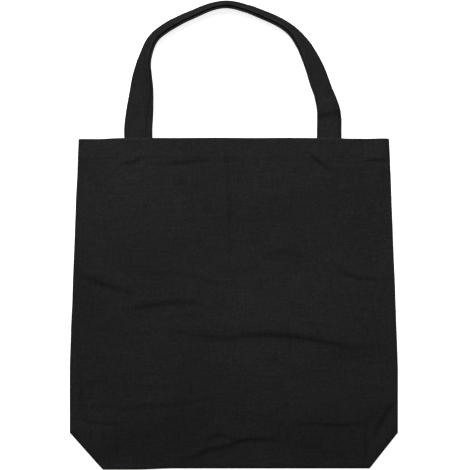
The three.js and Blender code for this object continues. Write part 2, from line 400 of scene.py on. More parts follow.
def cloth_wear_group() -> bpy.types.NodeTree:
    """Wear along folds and edges, broken up, with slow fading and the fine mottle of spun cotton."""
    group, nodes = new_group("cloth_wear", {"Vector": 0.0, "Wear": 0.0, "Crown": 0.0},
                             ["Rub", "Fade", "Mottle"])
    given = nodes.add("NodeGroupInput").outputs
    patches = nodes.add("ShaderNodeTexNoise", Vector=given["Vector"], Scale=55.0, Detail=4.0, Roughness=0.65)
    broken = nodes.add("ShaderNodeMapRange", Value=patches.outputs["Fac"], From_Min=0.35, From_Max=0.7)
    rub = nodes.math("MULTIPLY", given["Wear"], broken.outputs["Result"])
    rub = nodes.math("MULTIPLY", rub, nodes.math("MULTIPLY_ADD", given["Crown"], 0.7, 0.3))
    slow = nodes.add("ShaderNodeTexNoise", Vector=given["Vector"], Scale=7.0, Detail=3.0)
    fade = nodes.add("ShaderNodeMapRange", Value=slow.outputs["Fac"], From_Min=0.3, From_Max=0.7)
    near = nodes.add("ShaderNodeTexNoise", Vector=given["Vector"], Scale=330.0, Detail=3.0, Roughness=0.7)
    mottle = nodes.add("ShaderNodeMapRange", Value=near.outputs["Fac"], From_Min=0.32, From_Max=0.68)
    nodes.add("NodeGroupOutput", Rub=rub, Fade=fade.outputs["Result"], Mottle=mottle.outputs["Result"])
    return group


def lint_group() -> bpy.types.NodeTree:
    """Sparse pale specks and short hairs caught in the cloth."""
    group, nodes = new_group("lint", {"Vector": 0.0, "Scale": 160.0}, ["Specks"])
    given = nodes.add("NodeGroupInput").outputs
    stretch = nodes.add("ShaderNodeMapping", Vector=given["Vector"], Scale=(1.0, 0.3, 1.0),
                        Rotation=(0.0, 0.0, 0.6))
    cells = nodes.add("ShaderNodeTexVoronoi", Vector=stretch.outputs[0], Scale=given["Scale"], Randomness=1.0)
    near = nodes.add("ShaderNodeMapRange", Value=cells.outputs["Distance"], From_Min=0.09, From_Max=0.03)
    pick = nodes.add("ShaderNodeSeparateColor", Color=cells.outputs["Color"])
    rare = nodes.math("GREATER_THAN", pick.outputs[0], 0.975)
    nodes.add("NodeGroupOutput", Specks=nodes.math("MULTIPLY", near.outputs["Result"], rare))
    return group


@dataclass(frozen=True)
class ClothFinish:
    """A plain-weave cloth in one dye, from its weave up.

    The four factors after the shade multiply it on thin threads and in the dips between threads, where
    shade is painted, on the crowns of thick threads, where a highlight is painted, on rubbed folds, and
    in full fading.
    """

    name: str
    pitch: float
    relief: float
    shade: float = 0.0167
    # Painted shade in the dips between threads, together with randomly darker thin threads.
    deepest: float = 0.58
    # Painted highlight on the crowns of thick threads, together with randomly paler thick threads.
    palest: float = 1.48
    rubbed: float = 2.6
    faded: float = 0.2
    mottled: float = 0.44
    lint_colour: tuple[float, float, float, float] = (0.06, 0.06, 0.058, 1.0)
    roughness: float = 0.95
    specular: float = 0.0
    weave_bump: float = 0.55

    def colour(self, factor: float) -> tuple[float, float, float, float]:
        """The dye's colour, made lighter or darker by a factor."""
        value = self.shade * factor
        return (value, value, value, 1.0)

    def build(self, groups: dict[str, bpy.types.NodeTree]) -> bpy.types.Material:
        """Makes the material.

        Args:
            groups: the shared node groups by name.

        Returns:
            The finished material.
        """
        material = bpy.data.materials.new(self.name)
        material.use_nodes = True
        nodes = Nodes(material.node_tree)
        uv = nodes.add("ShaderNodeUVMap", {"uv_map": "cloth"}).outputs["UV"]
        place = nodes.add("ShaderNodeTexCoord").outputs["Object"]
        wear = nodes.add("ShaderNodeAttribute", {"attribute_name": "wear"}).outputs["Fac"]
        weave = nodes.add("ShaderNodeGroup", {"node_tree": groups["plain_weave"]}, Vector=uv,
                          Pitch=self.pitch)
        rub = nodes.add("ShaderNodeGroup", {"node_tree": groups["cloth_wear"]}, Vector=place, Wear=wear,
                        Crown=weave.outputs["Crown"])
        lint = nodes.add("ShaderNodeGroup", {"node_tree": groups["lint"]}, Vector=place)
        # Random thread tone that also follows each thread's height: painted shade in the dips between threads
        # and a painted highlight on their crowns.
        threads = nodes.math("MULTIPLY_ADD", weave.outputs["Tone"], 0.75, nodes.math(
            "MULTIPLY", weave.outputs["Crown"], 0.25))
        # The dye's colour with the weave's painted shade and painted highlight.
        dye_with_weave_shade = nodes.add("ShaderNodeMix", {"data_type": "RGBA"}, in0=threads,
                         in6=self.colour(self.deepest), in7=self.colour(self.palest))
        level = nodes.math("MULTIPLY_ADD", rub.outputs["Fade"], self.faded, 0.9)
        level = nodes.math("MULTIPLY", level, nodes.math(
            "MULTIPLY_ADD", rub.outputs["Mottle"], self.mottled, 0.78))
        faded = nodes.add("ShaderNodeMix", {"data_type": "RGBA", "blend_type": "MULTIPLY"}, in0=1.0,
                          in6=dye_with_weave_shade.outputs[2], in7=level)
        rubbed = nodes.add("ShaderNodeMix", {"data_type": "RGBA"}, in0=rub.outputs["Rub"],
                           in6=faded.outputs[2], in7=self.colour(self.rubbed))
        linted = nodes.add("ShaderNodeMix", {"data_type": "RGBA"}, in0=nodes.math(
            "MULTIPLY", lint.outputs["Specks"], 0.5), in6=rubbed.outputs[2], in7=self.lint_colour)
        rough = nodes.math("MULTIPLY_ADD", weave.outputs["Crown"], -0.06, self.roughness)
        bump = nodes.add("ShaderNodeBump", Strength=self.weave_bump, Distance=self.relief,
                         Height=weave.outputs["Height"])
        shader = nodes.add("ShaderNodeBsdfPrincipled", Base_Color=linted.outputs[2], Roughness=rough,
                           Normal=bump.outputs[0])
        shader.inputs["Specular IOR Level"].default_value = self.specular
        nodes.add("ShaderNodeOutputMaterial", Surface=shader.outputs[0])
        return material


@dataclass(frozen=True)
class ThreadFinish:
    """Twisted sewing thread, a little glossier than the cloth."""

    name: str = "sewing_thread"
    shade: float = 0.011
    darkest: float = 0.7
    palest: float = 1.9
    roughness: float = 0.55
    specular: float = 0.05

    def build(self) -> bpy.types.Material:
        """Makes the material, with the plies of the twist as fine slanted ridges, painted darker in their
        grooves and lighter on their crowns.
        """
        material = bpy.data.materials.new(self.name)
        material.use_nodes = True
        nodes = Nodes(material.node_tree)
        uv = nodes.add("ShaderNodeUVMap", {"uv_map": "cloth"}).outputs["UV"]
        ply = nodes.add("ShaderNodeTexWave", {"wave_type": "BANDS", "bands_direction": "DIAGONAL"}, Vector=uv,
                        Scale=900.0, Distortion=0.6, Detail=1.0)
        place = nodes.add("ShaderNodeTexCoord").outputs["Object"]
        tone = nodes.add("ShaderNodeTexNoise", Vector=place, Scale=240.0, Detail=2.0)
        # Painted highlight where a ply stands highest and painted shade in the grooves between plies, broken
        # up by random tone.
        mixed = nodes.math("MULTIPLY", ply.outputs["Fac"], tone.outputs["Fac"])
        low, high = self.shade * self.darkest, self.shade * self.palest
        colour = nodes.add("ShaderNodeMix", {"data_type": "RGBA"}, in0=mixed, in6=(low, low, low, 1.0),
                           in7=(high, high, high, 1.0))
        bump = nodes.add("ShaderNodeBump", Strength=0.4, Distance=0.00005, Height=ply.outputs["Fac"])
        shader = nodes.add("ShaderNodeBsdfPrincipled", Base_Color=colour.outputs[2], Roughness=self.roughness,
                           Normal=bump.outputs[0])
        shader.inputs["Specular IOR Level"].default_value = self.specular
        nodes.add("ShaderNodeOutputMaterial", Surface=shader.outputs[0])
        return material


@dataclass(frozen=True)
class StageFinish:
    """Plain matt white for the floor."""

    name: str = "pale_floor"
    shade: float = 0.9
    specular: float = 0.1
    glow: float = 0.8

    def build(self) -> bpy.types.Material:
        """Makes the material: paper with the faintest tooth, lit a little from below as on a light table."""
        material = bpy.data.materials.new(self.name)
        material.use_nodes = True
        nodes = Nodes(material.node_tree)
        place = nodes.add("ShaderNodeTexCoord").outputs["Object"]
        grain = nodes.add("ShaderNodeTexNoise", Vector=place, Scale=400.0, Detail=2.0)
        rough = nodes.math("MULTIPLY_ADD", grain.outputs["Fac"], 0.1, 0.85)
        shader = nodes.add("ShaderNodeBsdfPrincipled", Roughness=rough)
        shader.inputs["Base Color"].default_value = (self.shade, self.shade, self.shade, 1.0)
        shader.inputs["Specular IOR Level"].default_value = self.specular
        shader.inputs["Emission Color"].default_value = (1.0, 1.0, 1.0, 1.0)
        shader.inputs["Emission Strength"].default_value = self.glow
        nodes.add("ShaderNodeOutputMaterial", Surface=shader.outputs[0])
        return material


@dataclass
class Wardrobe:
    """Every finish of the bag, built once."""

    canvas: bpy.types.Material = field(init=False)
    strap: bpy.types.Material = field(init=False)
    thread: bpy.types.Material = field(init=False)
    floor: bpy.types.Material = field(init=False)

    def __post_init__(self) -> None:
        """Builds the shared groups and then the materials."""
        groups = {
            "plain_weave": plain_weave_group(),
            "cloth_wear": cloth_wear_group(),
            "lint": lint_group(),
        }
        self.canvas = ClothFinish("black_canvas", pitch=0.75 * MM, relief=0.16 * MM).build(groups)
        self.strap = ClothFinish("strap_canvas", pitch=0.7 * MM, relief=0.14 * MM).build(groups)
        self.thread = ThreadFinish().build()
        self.floor = StageFinish().build()


# ---------------------------------------------------------------------------------------------
# The shape of the bag
# ---------------------------------------------------------------------------------------------


def fold_profile(across: Array, width: float, reach: float) -> Array:
    """A soft fold: a steep middle that eases back to level on both sides.

    Args:
        across: distance from the fold's line, positive on its high side.
        width: how wide the steep middle is.
        reach: how far out the cloth takes to come back to level.

    Returns:
        The shape, between -1 and 1.
    """
    return np.tanh(across / width) * np.exp(-np.abs(across) / reach)


@dataclass(frozen=True)
class Crease:
    """One crease in the front panel, along a smooth line through a few places.

    Places are millimetres across from the bag's middle and up from its base fold.
    """

    places: tuple[tuple[float, float], ...]
    width: float
    depth: float
    relief: Relief = Relief.STEP
    reach: float = 11.0

    def line(self) -> Array:
        """The crease's line as closely spaced points."""
        spots = np.array(self.places) * MM
        return catmull_rom(spots, np.linspace(0.0, 1.0, 8 * (len(spots) - 1) + 1))

    def height(self, x: Array, rise: Array) -> Array:
        """How far the crease lifts or lowers the cloth at each place.

        Args:
            x: places across the bag.
            rise: places up from the base fold.

        Returns:
            The change of height, shaped as x is.
        """
        line = self.line()
        starts, spans = line[:-1], np.diff(line, axis=0)
        lengths = np.linalg.norm(spans, axis=1)
        walked = np.concatenate([[0.0], np.cumsum(lengths)])
        border = 3.5 * (self.reach if self.relief is Relief.STEP else self.width) * MM
        close = ((x > line[:, 0].min() - border) & (x < line[:, 0].max() + border)
                 & (rise > line[:, 1].min() - border) & (rise < line[:, 1].max() + border))
        lift = np.zeros_like(x)
        spots = np.stack([x[close], rise[close]], axis=1)
        if not len(spots):
            return lift
        offset = spots[:, None, :] - starts[None]
        share = np.clip((offset * spans).sum(2) / lengths**2, 0.0, 1.0)
        nearest = offset - share[..., None] * spans
        far = np.linalg.norm(nearest, axis=2)
        best = far.argmin(axis=1)
        pick = np.arange(len(spots))
        side = np.sign(spans[best, 0] * offset[pick, best, 1] - spans[best, 1] * offset[pick, best, 0])
        along = (walked[best] + share[pick, best] * lengths[best]) / walked[-1]
        taper = np.sin(np.pi * np.clip(along, 0.0, 1.0)) ** 0.7
        across = side * far[pick, best]
        if self.relief is Relief.STEP:
            shape = fold_profile(across, self.width * MM, self.reach * MM)
        else:
            shape = -np.exp(-((across / (self.width * MM)) ** 2))
        lift[close] = self.depth * MM * taper * shape
        return lift


CREASES = (
    # The long fold across the middle.
    Crease(((-86, 168), (-65, 165), (-40, 161), (-11, 158), (18, 161), (43, 162), (76, 159), (110, 153),
            (139, 148), (170, 146), (192, 145)), 5.2, 3.9, reach=18.0),
    Crease(((-136, 191), (-128, 192), (-94, 197), (-61, 201), (-40, 197), (-22, 190)), 4.6, 3.1, reach=14.0),
    Crease(((-97, 180), (-65, 184), (-40, 184), (-16, 176)), 3.4, 1.2),
    Crease(((-40, 176), (-16, 170), (6, 168), (30, 172)), 3.4, 1.0),
    # Drag lines in from the side seams.
    Crease(((-192, 232), (-182, 231), (-168, 228), (-152, 221), (-131, 215), (-116, 211)), 4.4, 3.1,
           reach=14.0),
    Crease(((-120, 236), (-85, 235), (-49, 232), (-15, 220), (-2, 222), (14, 236)), 2.8, 1.1),
    Crease(((24, 252), (36, 257), (64, 259), (85, 253), (112, 250)), 5.0, 1.8, reach=14.0),
    Crease(((106, 254), (114, 251), (127, 239), (147, 229), (168, 228), (192, 226)), 3.6, 2.5),
    # Low on the bag, above the base.
    Crease(((-160, 79), (-153, 77), (-132, 73), (-107, 77), (-70, 78), (-40, 84), (-8, 87)), 3.4, 1.7),
    Crease(((-112, 98), (-88, 100), (-60, 101)), 2.8, 1.0),
    Crease(((-72, 1), (-58, 9), (-44, 17), (-28, 24), (-7, 28), (10, 35), (35, 36), (68, 33)), 3.8, 2.9),
    Crease(((-38, 32), (-20, 42), (-7, 40), (10, 33)), 3.2, 2.0),
    Crease(((120, 136), (150, 137), (184, 138)), 3.0, 1.1),
    Crease(((-184, 101), (-165, 106), (-150, 118)), 3.0, 1.2),
    # The fold down the middle from packing.
    Crease(((-8, 393), (-6, 340), (-4, 290), (-3, 222)), 1.9, 2.4, Relief.VALLEY),
    # Pulls under the strap ends and along the hem.
    Crease(((-140, 360), (-132, 364), (-119, 368), (-103, 375)), 3.0, 2.2, reach=7.0),
    Crease(((-104, 365), (-80, 364), (-60, 366), (-32, 368)), 3.4, 1.8, reach=8.0),
    Crease(((84, 384), (93, 375), (102, 367), (120, 355)), 3.2, 3.4, reach=8.0),
    Crease(((-128, 366), (-150, 358), (-172, 334)), 3.6, 1.1),
    Crease(((146, 367), (168, 370), (186, 369)), 2.8, 1.5, reach=7.0),
    Crease(((180, 378), (181, 360), (182, 338), (186, 300)), 2.8, 1.7, Relief.VALLEY),
    Crease(((188, 300), (190, 262), (191, 238)), 2.8, 1.1, Relief.VALLEY),
    # Folds that the boxed corners leave.
    Crease(((-194, 60), (-188, 57), (-165, 53), (-136, 53)), 2.6, 1.8, Relief.VALLEY),
    Crease(((-141, 58), (-142, 45), (-141, 24), (-139, 3)), 2.3, 3.2, Relief.VALLEY),
    Crease(((-186, 122), (-185, 100), (-183, 78), (-183, 55)), 2.3, 3.0, Relief.VALLEY),
    Crease(((66, 52), (94, 56), (118, 54), (140, 55), (158, 59), (172, 66)), 2.8, 1.6),
    Crease(((159, 54), (160, 30), (162, 3)), 2.3, 3.2, Relief.VALLEY),
    Crease(((190, 78), (186, 66), (178, 52), (170, 34)), 4.6, 3.8, Relief.VALLEY),
)


@dataclass(frozen=True)
class Rumples:
    """Many faint creases that cloth keeps after it has been folded and carried."""

    count: int = 70
    seed: int = 7
    shortest: float = 18.0
    longest: float = 75.0

    def creases(self) -> list[Crease]:
        """Draws the faint creases, most of them nearly level with the hem."""
        draw = np.random.default_rng(self.seed)
        made = []
        for _ in range(self.count):
            x, rise = draw.uniform(-178.0, 178.0), draw.uniform(8.0, 366.0)
            length = draw.uniform(self.shortest, self.longest)
            heading = draw.normal(0.0, 0.28) if draw.random() < 0.8 else draw.normal(math.pi / 2, 0.3)
            bow = draw.normal(0.0, 0.09) * length
            step_x, step_rise = 0.5 * length * math.cos(heading), 0.5 * length * math.sin(heading)
            places = ((x - step_x, rise - step_rise), (x + bow * math.sin(heading), rise + bow),
                      (x + step_x, rise + step_rise))
            made.append(Crease(places, draw.uniform(2.2, 4.0), draw.uniform(0.15, 0.55), reach=8.0))
        return made


@dataclass(frozen=True)
class BagForm:
    """The outline and the heights of the bag's cloth as it lies."""

    base_y: float
    mouth_y: float
    half_waist: float
    top: float
    seam_z: float
    half_mouth: float = 186.5 * MM
    waist_rise: float = 120.0 * MM
    side_curve: float = 1.1
    corner_width: float = 40.0 * MM
    right_corner_width: float = 34.0 * MM
    corner_height: float = 43.0 * MM
    hem_depth: float = 27.0 * MM
    canvas: float = 1.0 * MM
    fold_radius: float = 1.65 * MM
    rim_run: float = 5.0 * MM
    slope_run: float = 80.0 * MM
    rim_share: float = 0.32
    rim_share_at_hem: float = 0.16
    hem_ease: float = 25.0 * MM
    quiet_edge: float = 9.0 * MM
    corner_blur: float = 9.0 * MM
    side_wander: float = 0.2 * MM
    base_sag: float = 1.5 * MM
    mouth_dip: float = 0.7 * MM
    strap_lift: float = 0.55 * MM
    hem_step: float = 0.85 * MM
    hem_hollow: float = 0.35 * MM
    hem_wave: float = 0.12 * MM
    stitch_groove: float = 0.3 * MM
    stitch_inset: float = 2.95 * MM

    @property
    def hem_line(self) -> float:
        """Y of the hem's lower fold."""
        return self.mouth_y - self.hem_depth

    @property
    def hem_row(self) -> float:
        """Y of the row of stitches round the hem."""
        return self.hem_line + self.stitch_inset

    def half_width(self, y: Array, side: Array | float = -1.0) -> Array:
        """Half the bag's width at each Y.

        Args:
            y: places along the bag.
            side: below 0 for the left half and above 0 for the right half.

        Returns:
            The half width.
        """
        rise = y - self.base_y
        climb = np.clip((rise - self.waist_rise) / (self.mouth_y - self.base_y - self.waist_rise), 0.0, 1.0)
        upper = self.half_waist + (self.half_mouth - self.half_waist) * climb**self.side_curve
        wander = self.side_wander * (1.0 + np.sin(rise * 61.0 + 2.0 * side) * np.sin(rise * 23.0 - side))
        upper = upper - wander * smoothstep(rise, 120.0 * MM, 200.0 * MM)
        cut = np.where(np.asarray(side) > 0, self.right_corner_width, self.corner_width)
        lower = upper - cut * (1.0 - np.clip(rise / self.corner_height, 0.0, 1.0))
        return np.where(rise < self.corner_height, lower, upper)

    def settle(self, x: Array, y: Array) -> Array:
        """Y of each place once the cloth's base and mouth have settled a little out of line."""
        low = 1.0 - smoothstep(y - self.base_y, 4.0 * MM, 45.0 * MM)
        high = smoothstep(y, self.mouth_y - 60.0 * MM, self.mouth_y - 20.0 * MM)
        sag = self.base_sag * smoothstep(-x, 70.0 * MM, 120.0 * MM)
        dip = (self.mouth_dip * smoothstep(-x, 140.0 * MM, 162.0 * MM)
               + self.mouth_dip * smoothstep(x, 118.0 * MM, 140.0 * MM)
               * (1.0 - smoothstep(x, 158.0 * MM, 180.0 * MM))
               + 0.15 * MM * (1.0 + np.sin(x * 70.0)))
        return y - low * sag - high * dip

    def edge_distance(self, x: Array, y: Array) -> tuple[Array, Array]:
        """Distance in from the outline.

        Args:
            x: places across the bag.
            y: places along the bag.

        Returns:
            The true distance, and one that rounds over where two edges meet.
        """
        side = self.half_width(np.maximum(y, self.base_y + self.corner_height), x) - np.abs(x)
        base = y - self.base_y
        cut = np.where(x > 0, self.right_corner_width, self.corner_width)
        slant = np.hypot(cut, self.corner_height)
        corner = (self.corner_height * side + cut * base - cut * self.corner_height) / slant
        edges = np.stack([side, base, corner])
        nearest = np.maximum(edges.min(axis=0), 0.0)
        blur = self.corner_blur
        soft = -blur * np.log(np.exp(-edges / blur).sum(axis=0))
        return nearest, np.maximum(soft, 0.0)

    def ripple(self, x: Array, y: Array) -> Array:
        """The slow unevenness of cloth that has been folded and carried."""
        waves = ((0.42, 31.0, 17.0, 0.4), (0.34, -19.0, 43.0, 2.1), (0.22, 61.0, 38.0, 1.2),
                 (0.2, 34.0, -89.0, 4.4), (0.12, 60.0, 150.0, 0.9), (0.07, -90.0, 210.0, 3.3))
        total = np.zeros_like(x)
        for height, across, along, phase in waves:
            total += height * MM * np.sin(across * x + along * y + phase)
        return total

    def strap_bumps(self, x: Array, y: Array, strap_middles: Sequence[float]) -> Array:
        """How far the sewn strap ends push the hem up."""
        lift = np.zeros_like(x)
        for middle in strap_middles:
            across = 1.0 - smoothstep(np.abs(x - middle), 10.0 * MM, 17.0 * MM)
            along = smoothstep(y, self.mouth_y - 43.0 * MM, self.mouth_y - 34.0 * MM)
            lift += self.strap_lift * across * along
        return lift

    def hem_relief(self, x: Array, y: Array) -> Array:
        """The step down below the hem's fold and the groove that its stitches pull in."""
        wander = 0.5 * MM * np.sin(x * 37.0 + 1.0) + 0.3 * MM * np.sin(x * 113.0)
        below = self.hem_line + wander - y
        strength = 0.62 + 0.38 * np.sin(x * 29.0 + 2.2 + np.sin(x * 71.0))
        step = self.hem_step * strength * (1.0 - smoothstep(below, -2.6 * MM, 2.6 * MM))
        hollow = -self.hem_hollow * strength * np.exp(-(((below - 3.0 * MM) / (3.0 * MM)) ** 2))
        row = (y - self.hem_row) / (1.1 * MM)
        pucker = 0.6 + 0.4 * np.sin(x / (1.3 * MM) + 2.0 * np.sin(x / (17.0 * MM)))
        waves = self.hem_wave * np.sin(x * 310.0 + 2.0 * np.sin(x * 47.0)) * smoothstep(
            y, self.hem_line - 4.0 * MM, self.hem_line + 4.0 * MM)
        return step + hollow + waves - self.stitch_groove * np.exp(-(row**2)) * pucker

    def face_height(self, x: Array, y: Array, strap_middles: Sequence[float]) -> Array:
        """Height of the front panel's outer face.

        Args:
            x: places across the bag.
            y: places along the bag.
            strap_middles: X of the middle of each strap end under the front hem.

        Returns:
            Z of the cloth at each place.
        """
        near, soft = self.edge_distance(x, y)
        hem = smoothstep(y, self.hem_line - self.hem_ease, self.hem_line)
        rim = np.sqrt(np.maximum(0.0, 1.0 - (1.0 - np.clip(near / self.rim_run, 0.0, 1.0)) ** 2))
        share = self.rim_share + self.rim_share_at_hem * hem
        slope = smoothstep(soft, 0.0, self.slope_run)
        rise = self.top - self.seam_z
        height = self.seam_z + rise * (share * rim + (1.0 - share) * slope)
        inside = smoothstep(near, 0.0, self.quiet_edge)
        detail = self.ripple(x, y) + self.strap_bumps(x, y, strap_middles) + self.hem_relief(x, y)
        for crease in (*CREASES, *Rumples().creases()):
            detail += crease.height(x, y - self.base_y)
        return height + detail * inside


@dataclass
class PanelCloth:
    """One panel of the bag: a sheet of canvas from the base fold over the top of the mouth."""

    form: BagForm
    face: Face
    strap_middles: tuple[float, ...]
    column_step: float = 2.05 * MM
    row_step: float = 2.05 * MM
    rim_stations: int = 7
    fold_stations: int = 9

    def columns(self) -> tuple[Array, Array]:
        """Columns across the panel.

        Returns:
            Each column's share of the width inside the rounded edges, and what is added to it on
            the rounded edges.
        """
        run = self.form.rim_run
        count = int(2 * self.form.half_waist / self.column_step)
        shares = np.linspace(-1.0, 1.0, count)
        angles = np.linspace(0.0, math.pi / 2, self.rim_stations, endpoint=False)
        extra = run - run * (1.0 - np.cos(angles))
        ones = np.ones_like(extra)
        return np.concatenate([-ones, shares, ones]), np.concatenate([-extra, 0.0 * shares, extra[::-1]])

    def rows(self) -> Array:
        """Y of each row, closer together at the base edge and along the hem."""
        form = self.form
        angles = np.linspace(0.0, math.pi / 2, self.rim_stations, endpoint=False)
        rim = form.base_y + form.rim_run * (1.0 - np.cos(angles))
        start = form.base_y + form.rim_run
        corner = form.base_y + form.corner_height
        hem_start = form.hem_line - 8.0 * MM
        top = form.mouth_y - form.fold_radius
        counts = [round((corner - start) / self.row_step), round((hem_start - corner) / self.row_step),
                  14, 12, 12]
        marks = [start, corner, hem_start, form.hem_line, form.hem_row + 4.0 * MM, top]
        return np.concatenate([rim, stations(marks, counts)])

    def lower_height(self, x: Array, y: Array) -> Array:
        """Height of the back panel's outer face, which turns up to the seam at its edges."""
        near, _ = self.form.edge_distance(x, y)
        run = 3.0 * MM
        turn = 1.0 - np.sqrt(np.maximum(0.0, 1.0 - (1.0 - np.clip(near / run, 0.0, 1.0)) ** 2))
        return (self.form.seam_z - 0.15 * MM) * turn

    def outer_points(self) -> Array:
        """The panel's outer face as a grid of points, shaped rows, columns, 3."""
        form = self.form
        shares, extra = self.columns()
        y = self.rows()
        width = np.where(shares[None, :] > 0, form.half_width(y, 1.0)[:, None],
                         form.half_width(y, -1.0)[:, None])
        x = shares[None, :] * (width - form.rim_run) + extra[None, :]
        y = np.broadcast_to(y[:, None], x.shape)
        if self.face is Face.FRONT:
            z = form.face_height(x, y, self.strap_middles)
        else:
            z = self.lower_height(x, y)
        body = np.stack([x, form.settle(x, y), z], axis=2)
        return np.concatenate([body, self.fold_points(body[-1])])

    def fold_points(self, edge: Array) -> Array:
        """The half-round fold at the top of the mouth.

        Args:
            edge: the panel's last row below the fold.

        Returns:
            The rows of the fold.
        """
        form = self.form
        into = self.face.value
        if self.face is Face.FRONT:
            room = np.abs(edge[:, 2] - form.seam_z) / 2
            radius = np.minimum(form.fold_radius, np.maximum(room, 0.05 * MM))
        else:
            near, _ = form.edge_distance(edge[:, 0], edge[:, 1])
            radius = form.fold_radius * smoothstep(near, -1.0 * MM, 6.0 * MM)
        rows = []
        for angle in np.linspace(0.0, math.pi, self.fold_stations + 1)[1:]:
            row = edge.copy()
            row[:, 1] += radius * math.sin(angle)
            row[:, 2] -= into * radius * (1.0 - math.cos(angle))
            rows.append(row)
        return np.array(rows)

    def wear(self, points: Array) -> Array:
        """Rubbing along the panel's edges and the fold round the mouth."""
        form = self.form
        x, y = points[..., 0].ravel(), points[..., 1].ravel()
        near, _ = form.edge_distance(x, y)
        edges = 0.5 * np.exp(-near / (1.6 * MM))
        fold = 0.55 * smoothstep(y, form.mouth_y - 2.2 * MM, form.mouth_y - 0.3 * MM)
        return np.maximum(edges, fold)

    def build(self, material: bpy.types.Material) -> bpy.types.Object:
        """Args:
            material: the cloth.

        Returns:
            The finished panel.
        """
        points = self.outer_points()
        rows, columns = points.shape[:2]
        name = f"{self.face.word}_panel_cloth"
        faces = grid_faces(rows, columns, flip=self.face is Face.BACK)
        piece = mesh_piece(name, points.reshape(-1, 3), faces, surface_uv(points))
        set_wear(piece, self.wear(points))
        piece.data.materials.append(material)
        apply_modifier(piece, "SOLIDIFY", thickness=0.97 * self.form.canvas, offset=-1.0)
        smooth(piece)
        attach(piece, "bag")
        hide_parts(f"{self.face.word}_panel")
        return piece


# ---------------------------------------------------------------------------------------------
# Bands, allowances and straps: closed profiles led along a line
# ---------------------------------------------------------------------------------------------


def loft(name: str, rings: Array, material: bpy.types.Material, flip: bool = False) -> bpy.types.Object:
    """Skins a row of closed rings and closes both ends.

    Args:
        name: the piece's name.
        rings: points shaped rings, points on a ring, 3.
        material: the finish.
        flip: turn the faces over.

    Returns:
        The closed piece.
    """
    count, around = rings.shape[:2]
    faces = grid_faces(count, around, wrap=True, flip=flip).tolist()
    first = list(range(around))
    last = [(count - 1) * around + corner for corner in range(around)]
    faces.append(first if flip else first[::-1])
    faces.append(last[::-1] if flip else last)
    steps = np.linalg.norm(np.diff(rings, axis=1), axis=2)
    girth = np.concatenate([np.zeros((count, 1)), np.cumsum(steps, axis=1)], axis=1)
    along = distances(rings.mean(axis=1))
    uv = np.stack([girth, np.broadcast_to(along[:, None], girth.shape)], axis=2).reshape(-1, 2)
    piece = mesh_piece(name, rings.reshape(-1, 3), faces, uv)
    piece.data.materials.append(material)
    return piece


@dataclass
class HemBand:
    """The turned-in band round one half of the mouth, two layers with a folded lower edge."""

    form: BagForm
    face: Face
    strap_middles: tuple[float, ...]
    thickness: float = 2.1 * MM
    station_step: float = 3.0 * MM

    def profile(self) -> Array:
        """The band's section: distance below the top, and share of the thickness."""
        depth = self.form.hem_depth - self.form.fold_radius - 0.1 * MM
        half = self.thickness / 2
        turn = np.linspace(-math.pi / 2, math.pi / 2, 7)
        fold = [(depth - half + half * math.cos(angle), 0.5 + 0.5 * math.sin(angle)) for angle in turn]
        outer = [(d, 0.0) for d in np.linspace(0.0, depth - 2 * half, 9)]
        row = depth - self.form.stitch_inset
        inner_at = [depth - 2 * half, row + 0.9 * MM, row, row - 0.9 * MM, row - 2 * MM,
                    depth * 0.5, depth * 0.2, 0.0]
        inner = [(d, 1.0 - (0.12 if d == row else 0.0)) for d in inner_at]
        return np.array([*outer, *fold, *inner])

    def build(self, material: bpy.types.Material) -> bpy.types.Object:
        """Makes the band against the inner face of its panel.

        Args:
            material: the cloth.

        Returns:
            The finished band.
        """
        form = self.form
        profile = self.profile()
        top = form.mouth_y - form.fold_radius - 0.05 * MM
        limit = form.half_mouth - 2.5 * MM
        x = np.linspace(-limit, limit, int(2 * limit / self.station_step))
        x, depth = np.meshgrid(x, profile[:, 0], indexing="ij")
        layer = np.broadcast_to(profile[:, 1], x.shape)
        y = top - depth
        if self.face is Face.FRONT:
            outside = form.face_height(x, y, self.strap_middles)
            room = np.clip((outside - form.seam_z) / (7.0 * MM), 0.35, 1.0)
            z = outside - 1.08 * form.canvas - layer * self.thickness * room
        else:
            z = 1.08 * form.canvas + layer * self.thickness
        rings = np.stack([x, form.settle(x, y), z], axis=2)
        name = f"{self.face.word}_hem_band"
        piece = loft(name, rings, material, flip=self.face is Face.BACK)
        set_wear(piece, 0.3 * smoothstep(depth.ravel(), form.hem_depth * 0.86, form.hem_depth))
        smooth(piece)
        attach(piece, "bag")
        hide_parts(f"{self.face.word}_hem")
        return piece


